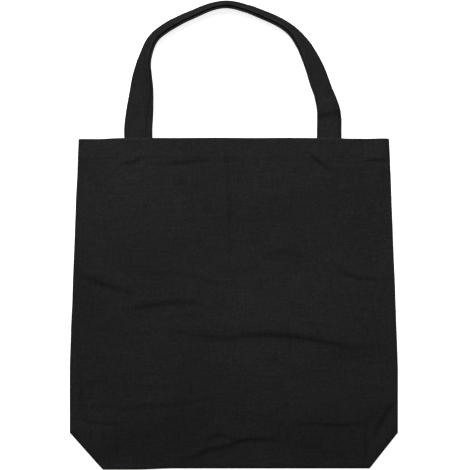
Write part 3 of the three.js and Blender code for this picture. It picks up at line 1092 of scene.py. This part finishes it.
@dataclass
class SeamAllowance:
    """A pressed seam allowance inside the bag: two raw edges trimmed and overlocked together."""

    node: str
    spine: Array
    width: float = 10.0 * MM
    thickness: float = 1.9 * MM
    wave: float = 0.35 * MM
    pitch: float = 3.4 * MM

    def build(self, material: bpy.types.Material) -> bpy.types.Object:
        """Leads a flat rounded section along the spine, waved where the overlocking pulls it.

        Args:
            material: the cloth.

        Returns:
            The finished strip.
        """
        walked = distances(self.spine)
        spots = np.arange(0.0, walked[-1], self.pitch / 4)
        centre = read_along(self.spine, walked, spots)
        along = unit(np.gradient(centre, axis=0))
        across = unit(np.cross(along, [0.0, 0.0, 1.0]))
        half, thin = self.width / 2, self.thickness / 2
        angles = np.linspace(0.0, 2 * math.pi, 20, endpoint=False)
        wide = np.sign(np.cos(angles)) * np.abs(np.cos(angles)) ** 0.35 * half
        high = np.sign(np.sin(angles)) * np.abs(np.sin(angles)) ** 0.7 * thin
        pull = self.wave * np.sin(2 * math.pi * spots / self.pitch)
        edge = smoothstep(wide, half * 0.5, half)
        rings = (centre[:, None, :] + across[:, None, :] * (wide[None, :, None] - edge[None, :, None]
                 * pull[:, None, None]) + np.array([0.0, 0.0, 1.0]) * high[None, :, None])
        piece = loft(f"{self.node}_allowance", rings, material)
        set_wear(piece, np.broadcast_to(0.5 * edge, rings.shape[:2]).ravel())
        smooth(piece)
        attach(piece, "bag")
        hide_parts(self.node)
        return piece


@dataclass(frozen=True)
class RouteStop:
    """One place on a handle's way from its left end to its right end."""

    across: float
    up: float
    tilt: float
    stagger: float


HANDLE_ROUTE = (
    RouteStop(-1.0, 0.0, 0, 1),
    RouteStop(-1.0, 0.08, 0, 1),
    RouteStop(-0.985, 0.2, 2, 0.85),
    RouteStop(-0.965, 0.35, 14, 0.4),
    RouteStop(-0.955, 0.48, 38, 0.1),
    RouteStop(-0.925, 0.6, 58, 0),
    RouteStop(-0.85, 0.73, 64, 0),
    RouteStop(-0.71, 0.82, 64, 0),
    RouteStop(-0.46, 0.915, 67, 0),
    RouteStop(-0.08, 1.0, 70, 0),
    RouteStop(0.34, 0.91, 66, 0),
    RouteStop(0.58, 0.815, 64, 0),
    RouteStop(0.73, 0.69, 52, 0),
    RouteStop(0.835, 0.54, 36, -0.05),
    RouteStop(0.9, 0.41, 22, -0.2),
    RouteStop(0.965, 0.28, 10, -0.6),
    RouteStop(1.0, 0.16, 3, -1),
    RouteStop(1.0, 0.07, 0, -1),
    RouteStop(1.0, 0.0, 0, -1),
)


@dataclass(frozen=True)
class StrapFold:
    """A soft fold across both straps, a distance in millimetres back from their right ends."""

    back: float
    width: float
    depth: float
    reach: float = 9.0

    def height(self, distance: Array, length: float) -> Array:
        """How far the fold moves the strap at each distance from its left end."""
        across = length - self.back * MM - distance
        return self.depth * MM * fold_profile(across, self.width * MM, self.reach * MM)


STRAP_FOLDS = (
    StrapFold(66.5, 5.2, 3.3, reach=13.0),
    StrapFold(88.0, 4.0, 0.4),
    StrapFold(150.0, 4.0, 0.35),
    StrapFold(236.0, 3.0, -0.4),
    StrapFold(330.0, 4.0, 0.4),
    StrapFold(395.0, 3.5, -0.35),
)


@dataclass
class StrapLine:
    """A strap's middle line with the directions that turn with it."""

    place: Array
    along: Array
    inward: Array
    normal: Array

    @property
    def walked(self) -> Array:
        """Distance from the first point to each point."""
        return distances(self.place)

    def at(self, distance: Array) -> "StrapLine":
        """The same line at other distances from its first point."""
        place, *turned = (read_along(values, self.walked, distance)
                          for values in (self.place, self.along, self.inward, self.normal))
        return StrapLine(place, *(unit(part) for part in turned))


@dataclass
class HandleStrap:
    """One handle: a folded and stitched strap whose two ends are sewn inside the hem."""

    face: Face
    spacing: float = 228.0 * MM
    rise: float = 165.5 * MM
    width: float = 25.0 * MM
    thickness: float = 2.5 * MM
    ply_gap: float = 1.3 * MM
    left_stagger: float = 8.6 * MM
    right_stagger: float = 5.0 * MM
    lift: float = 9.0 * MM
    stitch_inset: float = 2.5 * MM
    bend_run: float = 10.0 * MM

    @property
    def joint(self) -> dict:
        """The joint that this handle swings on."""
        return next(item for item in frame["joints"] if item["child"] == f"{self.face.word}_handle")

    def end_middle(self, side: Side) -> Vector:
        """The middle of one sewn end."""
        low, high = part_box(f"{self.face.word}_strap_end_{side.word}")
        return (low + high) / 2

    def apex_reach(self) -> float:
        """How far the outer handle reaches past the middle line at the top of the arch."""
        tilt = math.radians(max(stop.tilt for stop in HANDLE_ROUTE))
        ply = (self.ply_gap + self.thickness) / 2 + self.thickness / 2
        return ply * math.sin(tilt) + self.width / 2 * math.cos(tilt)

    def loop_line(self, share: Array) -> StrapLine:
        """The moving loop, as the CAD solid lies.

        Args:
            share: places along the loop's route, from 0 to 1.

        Returns:
            The strap's line at those places.
        """
        scale = np.array([self.spacing / 2, self.rise - self.apex_reach()])
        route = np.array([(stop.across, stop.up) for stop in HANDLE_ROUTE])
        posture = catmull_rom(np.array([(stop.tilt, stop.stagger) for stop in HANDLE_ROUTE], float), share)
        nudge = 1e-4
        flat = catmull_rom(route, share) * scale
        after, before = (catmull_rom(route, np.clip(share + step, 0, 1)) * scale for step in (nudge, -nudge))
        heading = unit(after - before)
        along = np.column_stack([heading, np.zeros(len(share))])
        outward = np.column_stack([-heading[:, 1], heading[:, 0], np.zeros(len(share))])
        tilt = np.radians(np.clip(posture[:, 0], 0.0, 90.0))[:, None]
        up = np.array([[0.0, 0.0, 1.0]])
        normal = outward * np.sin(tilt) + up * np.cos(tilt)
        inward = -outward * np.cos(tilt) + up * np.sin(tilt)
        front, back = (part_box(f"{face.word}_strap_end_left") for face in Face)
        root_low, root_high = back[0].z, front[1].z
        loop_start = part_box("front_handle")[0].y
        heights = (root_low + root_high) / 2 + self.lift * np.sin(tilt[:, 0])
        place = np.column_stack([flat[:, 0], flat[:, 1] + loop_start, heights])
        root_ply = (root_high - root_low - self.thickness) / 2
        ply = root_ply + ((self.ply_gap + self.thickness) / 2 - root_ply) * np.sin(tilt)
        stagger = np.where(posture[:, 1] > 0, self.left_stagger, self.right_stagger) * posture[:, 1] / 2
        place = place + normal * ply * self.face.value - inward * stagger[:, None] * self.face.value
        return StrapLine(place, along, inward, normal)

    def whole_line(self) -> StrapLine:
        """The strap from the bottom of its left end, round the loop, to the bottom of the right end."""
        loop = self.loop_line(stations([0.0, 0.03, 0.97, 1.0], [14, 220, 14]))
        parts = [self.end_line(Side.LEFT, loop.place[0, 1]), loop,
                 self.end_line(Side.RIGHT, loop.place[-1, 1])]
        joined = [np.concatenate([getattr(part, key) for part in parts])
                  for key in ("place", "along", "inward", "normal")]
        return StrapLine(*joined)

    def end_line(self, side: Side, stop_y: float) -> StrapLine:
        """One sewn end, straight and flat under the hem.

        Args:
            side: which end.
            stop_y: where the loop takes over.

        Returns:
            The end's line, in the strap's own direction.
        """
        low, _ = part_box(f"{self.face.word}_strap_end_{side.word}")
        middle = self.end_middle(side)
        y = np.linspace(low.y, stop_y, 26)[:-1]
        if side is Side.RIGHT:
            y = y[::-1]
        count = len(y)
        place = np.column_stack([np.full(count, middle.x), y, np.full(count, middle.z)])
        directions = ((0.0, -side.value, 0.0), (-side.value, 0.0, 0.0), (0.0, 0.0, 1.0))
        return StrapLine(place, *(np.tile(np.array(vector, float), (count, 1)) for vector in directions))

    def section(self) -> Array:
        """The strap's section: across its width, and through its thickness."""
        half, thick = self.width / 2, self.thickness / 2
        row = half - self.stitch_inset
        marks = np.linspace(0.0, 0.66, 8) * half
        near_row = row + np.array([-1.5, -0.8, -0.4, 0.0, 0.4, 0.8, 1.4]) * MM
        across = np.concatenate([marks, near_row, [half - 0.5 * MM]])
        across = np.concatenate([-across[:0:-1], across])
        crown = thick * (1.0 - 0.28 * (np.abs(across) / half) ** 10)
        crown = crown - 0.3 * MM * np.exp(-(((np.abs(across) - row) / (0.75 * MM)) ** 2))
        crown = crown + 0.1 * MM * np.cos(across / half * math.pi / 2)
        top = np.column_stack([across, crown])
        turn = np.radians([50.0, 22.0, 0.0, -22.0, -50.0])
        cap = np.column_stack([half - 0.5 * MM + 0.5 * MM * np.cos(turn) ** 0.5,
                               0.75 * thick * np.sin(turn)])
        cap[2, 0] -= 0.22 * MM
        bottom = top[::-1] * [1.0, -1.0]
        left = cap[::-1] * [-1.0, 1.0]
        return np.concatenate([top, cap, bottom, left])

    def ripple(self, distance: Array, length: float) -> Array:
        """Height of the folds and ripples across the strap.

        Args:
            distance: places along the strap, from its left end.
            length: the strap's whole length.

        Returns:
            The height at each place, the same all across the strap.
        """
        height = 0.12 * MM * np.sin(distance / (7.0 * MM)) * np.sin(distance / (31.0 * MM))
        for fold in STRAP_FOLDS:
            height = height + fold.height(distance, length)
        return height

    def lengthwise(self, distance: Array, across: Array) -> Array:
        """Height of the wrinkles that run along the strap where it twists over the loop.

        Args:
            distance: places along the strap, from its left end.
            across: places across its width.

        Returns:
            The height at each distance and each place across, which is nothing at the stitches.
        """
        length = distance[-1]
        arch = (smoothstep(distance, 0.16 * length, 0.3 * length)
                * (1.0 - smoothstep(distance, 0.7 * length, 0.84 * length)))
        strength = 0.6 * MM * arch * (0.7 + 0.3 * np.sin(distance / (19.0 * MM)))
        row = self.width / 2 - self.stitch_inset
        clear = 1.0 - smoothstep(np.abs(across), row - 4.0 * MM, row - 1.4 * MM)
        sway = 1.4 * np.sin(distance / (27.0 * MM)) + 0.6 * np.sin(distance / (11.0 * MM))
        wave = np.sin(across[None, :] / (1.0 * MM) + sway[:, None])
        return strength[:, None] * clear[None, :] * wave

    def rings(self, line: StrapLine) -> Array:
        """The strap's section led along its line, with the ripples that its turns press in."""
        section = self.section()
        distance = line.walked
        over = section[None, :, 1] + self.ripple(distance, distance[-1])[:, None]
        over = over + self.lengthwise(distance, section[:, 0])
        return (line.place[:, None, :] + line.inward[:, None, :] * section[None, :, 0, None]
                + line.normal[:, None, :] * over[..., None])

    def build(self, material: bpy.types.Material) -> bpy.types.Object:
        """Makes the whole strap, which bends at the top of the hem.

        Args:
            material: the strap's cloth.

        Returns:
            The finished strap.
        """
        line = self.whole_line()
        rings = self.rings(line)
        piece = loft(f"{self.face.word}_handle_strap", rings, material, flip=True)
        edge = np.abs(self.section()[:, 0]) / (self.width / 2)
        set_wear(piece, np.broadcast_to(0.7 * smoothstep(edge, 0.93, 1.0), rings.shape[:2]).ravel())
        smooth(piece)
        self.hang(piece)
        ends = [f"{self.face.word}_strap_end_{side.word}" for side in Side]
        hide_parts(f"{self.face.word}_handle", *ends)
        return piece

    def hang(self, piece: bpy.types.Object) -> None:
        """Bakes the piece's placement into its mesh."""
        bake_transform(piece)

    def stitch_runs(self) -> list["StitchRun"]:
        """The rows of stitches along both edges, on both faces of the strap."""
        line = self.whole_line()
        length = line.walked[-1]
        distance = np.arange(4.0 * MM, length - 4.0 * MM, 1.0 * MM)
        spots = line.at(distance)
        ripple = self.ripple(distance, length)
        runs = []
        row = self.width / 2 - self.stitch_inset
        over = self.thickness / 2 - 0.17 * MM
        for across in (row, -row):
            for facing in (1.0, -1.0):
                lift = spots.normal * (facing * over + ripple)[:, None]
                points = spots.place + spots.inward * across + lift
                runs.append(StitchRun(points, spots.normal * facing))
        return runs


# ---------------------------------------------------------------------------------------------
# Stitching
# ---------------------------------------------------------------------------------------------


@dataclass
class StitchRun:
    """A line that stitches are laid along, with the direction out of the cloth at each point."""

    points: Array
    out: Array


@dataclass
class Needlework:
    """Lays rows of lockstitch: one stitch is modelled and copied along every run."""

    material: bpy.types.Material
    pitch: float = 3.2 * MM
    stitch_length: float = 2.5 * MM
    thread_radius: float = 0.27 * MM
    pattern: bpy.types.Mesh = field(init=False)

    def __post_init__(self) -> None:
        """Models the one stitch, a plump thread whose two ends dive into the cloth."""
        deselect_all()
        bpy.ops.mesh.primitive_cylinder_add(vertices=7, radius=self.thread_radius,
                                            depth=self.stitch_length * 0.5, end_fill_type="NGON",
                                            rotation=(0.0, math.pi / 2, 0.0))
        stitch = bpy.context.object
        bpy.ops.object.transform_apply(location=True, rotation=True, scale=True)
        for step, shrink, drop in ((0.3, 0.9, 0.25), (0.2, 0.55, 0.75)):
            for end in (-1.0, 1.0):
                self.extend_end(stitch, end, step * self.stitch_length * 0.83, shrink,
                                drop * self.thread_radius)
        self.pattern = stitch.data
        bpy.data.objects.remove(stitch)

    def extend_end(self, stitch: bpy.types.Object, end: float, step: float, shrink: float,
                   drop: float) -> None:
        """Extrudes one end of the stitch outwards, thinner and lower.

        Args:
            stitch: the stitch being modelled.
            end: -1 or 1, for the end towards -X or +X.
            step: how far the end moves outwards.
            shrink: how much thinner it becomes.
            drop: how far it sinks.
        """
        make_active(stitch)
        bpy.ops.object.mode_set(mode="EDIT")
        bpy.ops.mesh.select_mode(type="FACE")
        bpy.ops.mesh.select_all(action="DESELECT")
        bpy.ops.object.mode_set(mode="OBJECT")
        faces = stitch.data.polygons
        tip = max(faces, key=lambda item: item.center.x * end + item.normal.x * end)
        tip.select = True
        bpy.ops.object.mode_set(mode="EDIT")
        bpy.ops.mesh.extrude_region_move(TRANSFORM_OT_translate={"value": (end * step, 0.0, -drop)})
        bpy.ops.transform.resize(value=(1.0, shrink, shrink))
        bpy.ops.object.mode_set(mode="OBJECT")

    def spots(self, run: StitchRun) -> tuple[Array, Array, Array]:
        """The place, heading and outward direction of each stitch on a run."""
        walked = distances(run.points)
        count = max(1, int(walked[-1] / self.pitch))
        distance = (np.arange(count) + 0.5) * walked[-1] / count
        reach = self.stitch_length / 2
        ahead = read_along(run.points, walked, np.minimum(distance + reach, walked[-1]))
        behind = read_along(run.points, walked, np.maximum(distance - reach, 0.0))
        place = read_along(run.points, walked, distance)
        return place, unit(ahead - behind), unit(read_along(run.out, walked, distance))

    def sew(self, name: str, runs: Sequence[StitchRun], slant: float = 4.0) -> bpy.types.Object:
        """Copies the stitch along every run, as one piece.

        Args:
            name: the piece's name.
            runs: the lines to follow.
            slant: how far each stitch turns from its row, in degrees.

        Returns:
            The stitches, not yet riding on anything.
        """
        pattern = np.array([vertex.co for vertex in self.pattern.vertices])
        faces = [list(polygon.vertices) for polygon in self.pattern.polygons]
        turn = math.tan(math.radians(slant))
        points, indices = [], []
        for run in runs:
            place, heading, out = self.spots(run)
            heading = unit(heading - out * (heading * out).sum(axis=1, keepdims=True))
            across = np.cross(out, heading)
            heading = unit(heading + across * turn)
            across = np.cross(out, heading)
            copies = (place[:, None, :] + heading[:, None, :] * pattern[None, :, :1]
                      + across[:, None, :] * pattern[None, :, 1:2] + out[:, None, :] * pattern[None, :, 2:3])
            for copy in copies:
                base = len(points) * len(pattern)
                points.append(copy)
                indices.extend([base + corner for corner in face] for face in faces)
        stacked = np.concatenate(points)
        along = np.tile(pattern[:, 0], len(points))
        around = np.tile(np.arctan2(pattern[:, 1], pattern[:, 2]) * self.thread_radius, len(points))
        piece = mesh_piece(name, stacked, indices, np.column_stack([along, around]))
        piece.data.materials.append(self.material)
        smooth(piece, 60.0)
        return piece


@dataclass
class HemStitching:
    """The row of stitches round the hem, and the crossed squares that hold the straps."""

    form: BagForm
    needle: Needlework
    face: Face
    strap_middles: tuple[float, ...]
    box_side: float = 17.0 * MM

    def height(self, x: Array, y: Array) -> Array:
        """Height of the cloth that the stitches lie on."""
        if self.face is Face.FRONT:
            return self.form.face_height(x, y, self.strap_middles)
        return np.zeros_like(x)

    def along(self, starts: tuple[float, float], ends: tuple[float, float], sink: float,
              up: float) -> StitchRun:
        """A straight run on the cloth between two places.

        Args:
            starts: X and Y of one end.
            ends: X and Y of the other end.
            sink: how far from the cloth's face the thread's middle lies, along up.
            up: 1 on a face that looks up and -1 on one that looks down.

        Returns:
            The run.
        """
        length = math.dist(starts, ends)
        share = np.linspace(0.0, 1.0, max(3, int(length / (1.0 * MM))))
        x = starts[0] + share * (ends[0] - starts[0])
        y = starts[1] + share * (ends[1] - starts[1])
        points = np.column_stack([x, self.form.settle(x, y), self.height(x, y) + sink])
        return StitchRun(points, np.tile([0.0, 0.0, up], (len(x), 1)))

    def hem_row(self) -> bpy.types.Object:
        """The long row just above the hem's lower fold, on both faces of the cloth."""
        form = self.form
        y = form.hem_row
        reach = float(form.half_width(np.array([y]))[0]) - 9.0 * MM
        layers = 3.25 * MM
        if self.face is Face.FRONT:
            runs = [self.along((-reach, y), (reach, y), 0.1 * MM, 1.0),
                    self.along((-reach, y), (reach, y), -layers, -1.0)]
        else:
            runs = [self.along((-reach, y), (reach, y), 0.12 * MM, -1.0),
                    self.along((-reach, y), (reach, y), layers + 0.05 * MM, 1.0)]
        piece = self.needle.sew(f"{self.face.word}_hem_stitches", runs)
        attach(piece, "bag")
        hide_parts(f"{self.face.word}_hem_stitching")
        return piece

    def box(self, side: Side) -> bpy.types.Object:
        """The square of stitches with its crossing lines over one strap end."""
        low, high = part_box(f"{self.face.word}_box_stitch_{side.word}")
        middle = (low + high) / 2
        half = self.box_side / 2
        corners = [(middle.x + across * half, middle.y + along * half)
                   for across, along in ((-1, -1), (1, -1), (1, 1), (-1, 1))]
        lines = [(corners[i], corners[(i + 1) % 4]) for i in range(4)]
        lines += [(corners[0], corners[2]), (corners[1], corners[3])]
        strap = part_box(f"{self.face.word}_strap_end_{side.word}")
        if self.face is Face.FRONT:
            near = [self.along(a, b, 0.12 * MM, 1.0) for a, b in lines]
            far_z, far_out = strap[0].z + 0.1 * MM, -1.0
        else:
            near = [self.along(a, b, 0.12 * MM, -1.0) for a, b in lines]
            far_z, far_out = strap[1].z - 0.02 * MM, 1.0
        far = []
        for run in (self.along(a, b, 0.0, far_out) for a, b in lines):
            run.points[:, 2] = far_z
            far.append(run)
        piece = self.needle.sew(f"{self.face.word}_box_stitches_{side.word}", [*near, *far])
        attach(piece, "bag")
        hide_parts(f"{self.face.word}_box_stitch_{side.word}")
        return piece


# ---------------------------------------------------------------------------------------------
# The studio
# ---------------------------------------------------------------------------------------------


@dataclass
class Studio:
    """A pale floor, soft light from past the mouth of the bag, and a camera straight above."""

    floor_size: float = 30.0
    floor_gap: float = 0.2 * MM
    lens: float = 85.0
    sensor: float = 36.0
    view_width: float = 0.5630
    middle_x: float = 1.4 * MM
    below_mouth: float = 115.8 * MM
    focus_z: float = 4.0 * MM
    key_place: Vector = field(default_factory=lambda: Vector((-0.1, 0.62, 1.05)))
    key_size: float = 0.8
    key_power: float = 17.0
    fill_place: Vector = field(default_factory=lambda: Vector((0.1, -0.1, 2.0)))
    fill_size: float = 1.8
    fill_power: float = 3.0
    sky: float = 0.15

    def floor(self, material: bpy.types.Material) -> None:
        """Lays the floor just under the bag."""
        deselect_all()
        bpy.ops.mesh.primitive_grid_add(x_subdivisions=8, y_subdivisions=8, size=self.floor_size,
                                        location=(0.0, 0.0, -self.floor_gap))
        floor = bpy.context.object
        floor.name = "studio_floor"
        floor.data.materials.append(material)

    def lamp(self, name: str, place: Vector, size: float, power: float) -> None:
        """Hangs one square soft light that points at the bag.

        Args:
            name: the light's name.
            place: where it hangs.
            size: its side.
            power: its power in watts.
        """
        light = bpy.data.lights.new(name, "AREA")
        light.shape = "SQUARE"
        light.size = size
        light.energy = power
        lamp = bpy.data.objects.new(name, light)
        lamp.location = place
        lamp.rotation_euler = (-place).to_track_quat("-Z", "Y").to_euler()
        bpy.context.scene.collection.objects.link(lamp)

    def lights(self) -> None:
        """Lights the bag from past its mouth and fills the rest evenly."""
        self.lamp("key_light", self.key_place, self.key_size, self.key_power)
        self.lamp("fill_light", self.fill_place, self.fill_size, self.fill_power)
        world = bpy.data.worlds.new("studio_air")
        bpy.context.scene.world = world
        world.use_nodes = True
        background = world.node_tree.nodes["Background"]
        background.inputs["Color"].default_value = (1.0, 1.0, 1.0, 1.0)
        background.inputs["Strength"].default_value = self.sky

    def camera(self) -> None:
        """Sets the camera straight above the bag, with the handles at the top of the picture."""
        lens = bpy.data.cameras.new("camera")
        lens.lens = self.lens
        lens.sensor_width = self.sensor
        camera = bpy.data.objects.new("camera", lens)
        height = self.view_width * self.lens / self.sensor
        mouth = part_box("front_panel")[1].y
        camera.location = Vector((self.middle_x, mouth - self.below_mouth, self.focus_z + height))
        bpy.context.scene.collection.objects.link(camera)
        bpy.context.scene.camera = camera

    def build(self, floor: bpy.types.Material) -> None:
        """Makes the whole studio."""
        self.floor(floor)
        self.lights()
        self.camera()
        bpy.context.scene.view_settings.view_transform = "Standard"


# ---------------------------------------------------------------------------------------------
# The bag
# ---------------------------------------------------------------------------------------------


@dataclass
class ToteBag:
    """The whole bag, built from the inside of the seams out to the stitches."""

    wardrobe: Wardrobe
    seam_points: int = 60
    side_seam_inset: float = 9.5 * MM
    corner_seam_inset: float = 3.6 * MM
    form: BagForm = field(init=False)
    strap_middles: tuple[float, ...] = field(init=False)

    def __post_init__(self) -> None:
        """Reads the bag's places from the CAD frame."""
        low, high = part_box("front_panel")
        self.form = BagForm(base_y=low.y, mouth_y=high.y, half_waist=high.x, top=high.z, seam_z=low.z)
        front_strap = HandleStrap(Face.FRONT)
        self.strap_middles = tuple(front_strap.end_middle(side).x for side in Side)

    def seam_spines(self) -> dict[str, Array]:
        """The middle line of each seam allowance, inside the bag."""
        form = self.form
        spines = {}
        for side in Side:
            node = f"{side.word}_side_seam"
            low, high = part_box(node)
            y = np.linspace(low.y, high.y, self.seam_points)
            x = side.value * (form.half_width(y) - self.side_seam_inset)
            spines[node] = np.column_stack([x, y, np.full(self.seam_points, (low.z + high.z) / 2)])
            corner = f"{side.word}_corner_seam"
            low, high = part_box(corner)
            inset = self.corner_seam_inset
            outer = (high.x if side is Side.RIGHT else low.x) - side.value * inset
            inner = (low.x if side is Side.RIGHT else high.x) + side.value * inset
            middle = (low.z + high.z) / 2
            spines[corner] = np.array([(outer, low.y + inset, middle), (inner, high.y - inset, middle)])
        low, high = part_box("base_seam")
        middle = (low + high) / 2
        spines["base_seam"] = np.array([(low.x, middle.y, middle.z), (high.x, middle.y, middle.z)])
        return spines

    def build(self) -> None:
        """Makes every piece, in the order that they would be sewn."""
        cloth, strap_cloth = self.wardrobe.canvas, self.wardrobe.strap
        needle = Needlework(self.wardrobe.thread)
        panels, hems, extras = {}, {}, {}
        for node, spine in self.seam_spines().items():
            piece = SeamAllowance(node, spine).build(cloth)
            LOG.info("built %s", piece.name)
        middles = self.strap_middles
        for face in Face:
            panels[face] = PanelCloth(self.form, face, middles).build(cloth)
            hems[face] = HemBand(self.form, face, middles).build(cloth)
            strap = HandleStrap(face)
            piece = strap.build(strap_cloth)
            threads = needle.sew(f"{face.word}_handle_stitches", strap.stitch_runs())
            strap.hang(threads)
            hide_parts(f"{face.word}_handle_stitch_inner", f"{face.word}_handle_stitch_outer")
            sewing = HemStitching(self.form, needle, face, middles)
            extras[face] = [sewing.hem_row(), *(sewing.box(side) for side in Side)]
            for made in (panels[face], hems[face], piece, threads, *extras[face]):
                LOG.info("built %s with %d faces", made.name, len(made.data.polygons))


def main() -> None:
    """Builds the studio and the bag."""
    logging.basicConfig(level=logging.INFO, format="%(name)s: %(message)s")
    deselect_all()
    wardrobe = Wardrobe()
    Studio().build(wardrobe.floor)
    ToteBag(wardrobe).build()


if __name__ == "__main__":
    main()
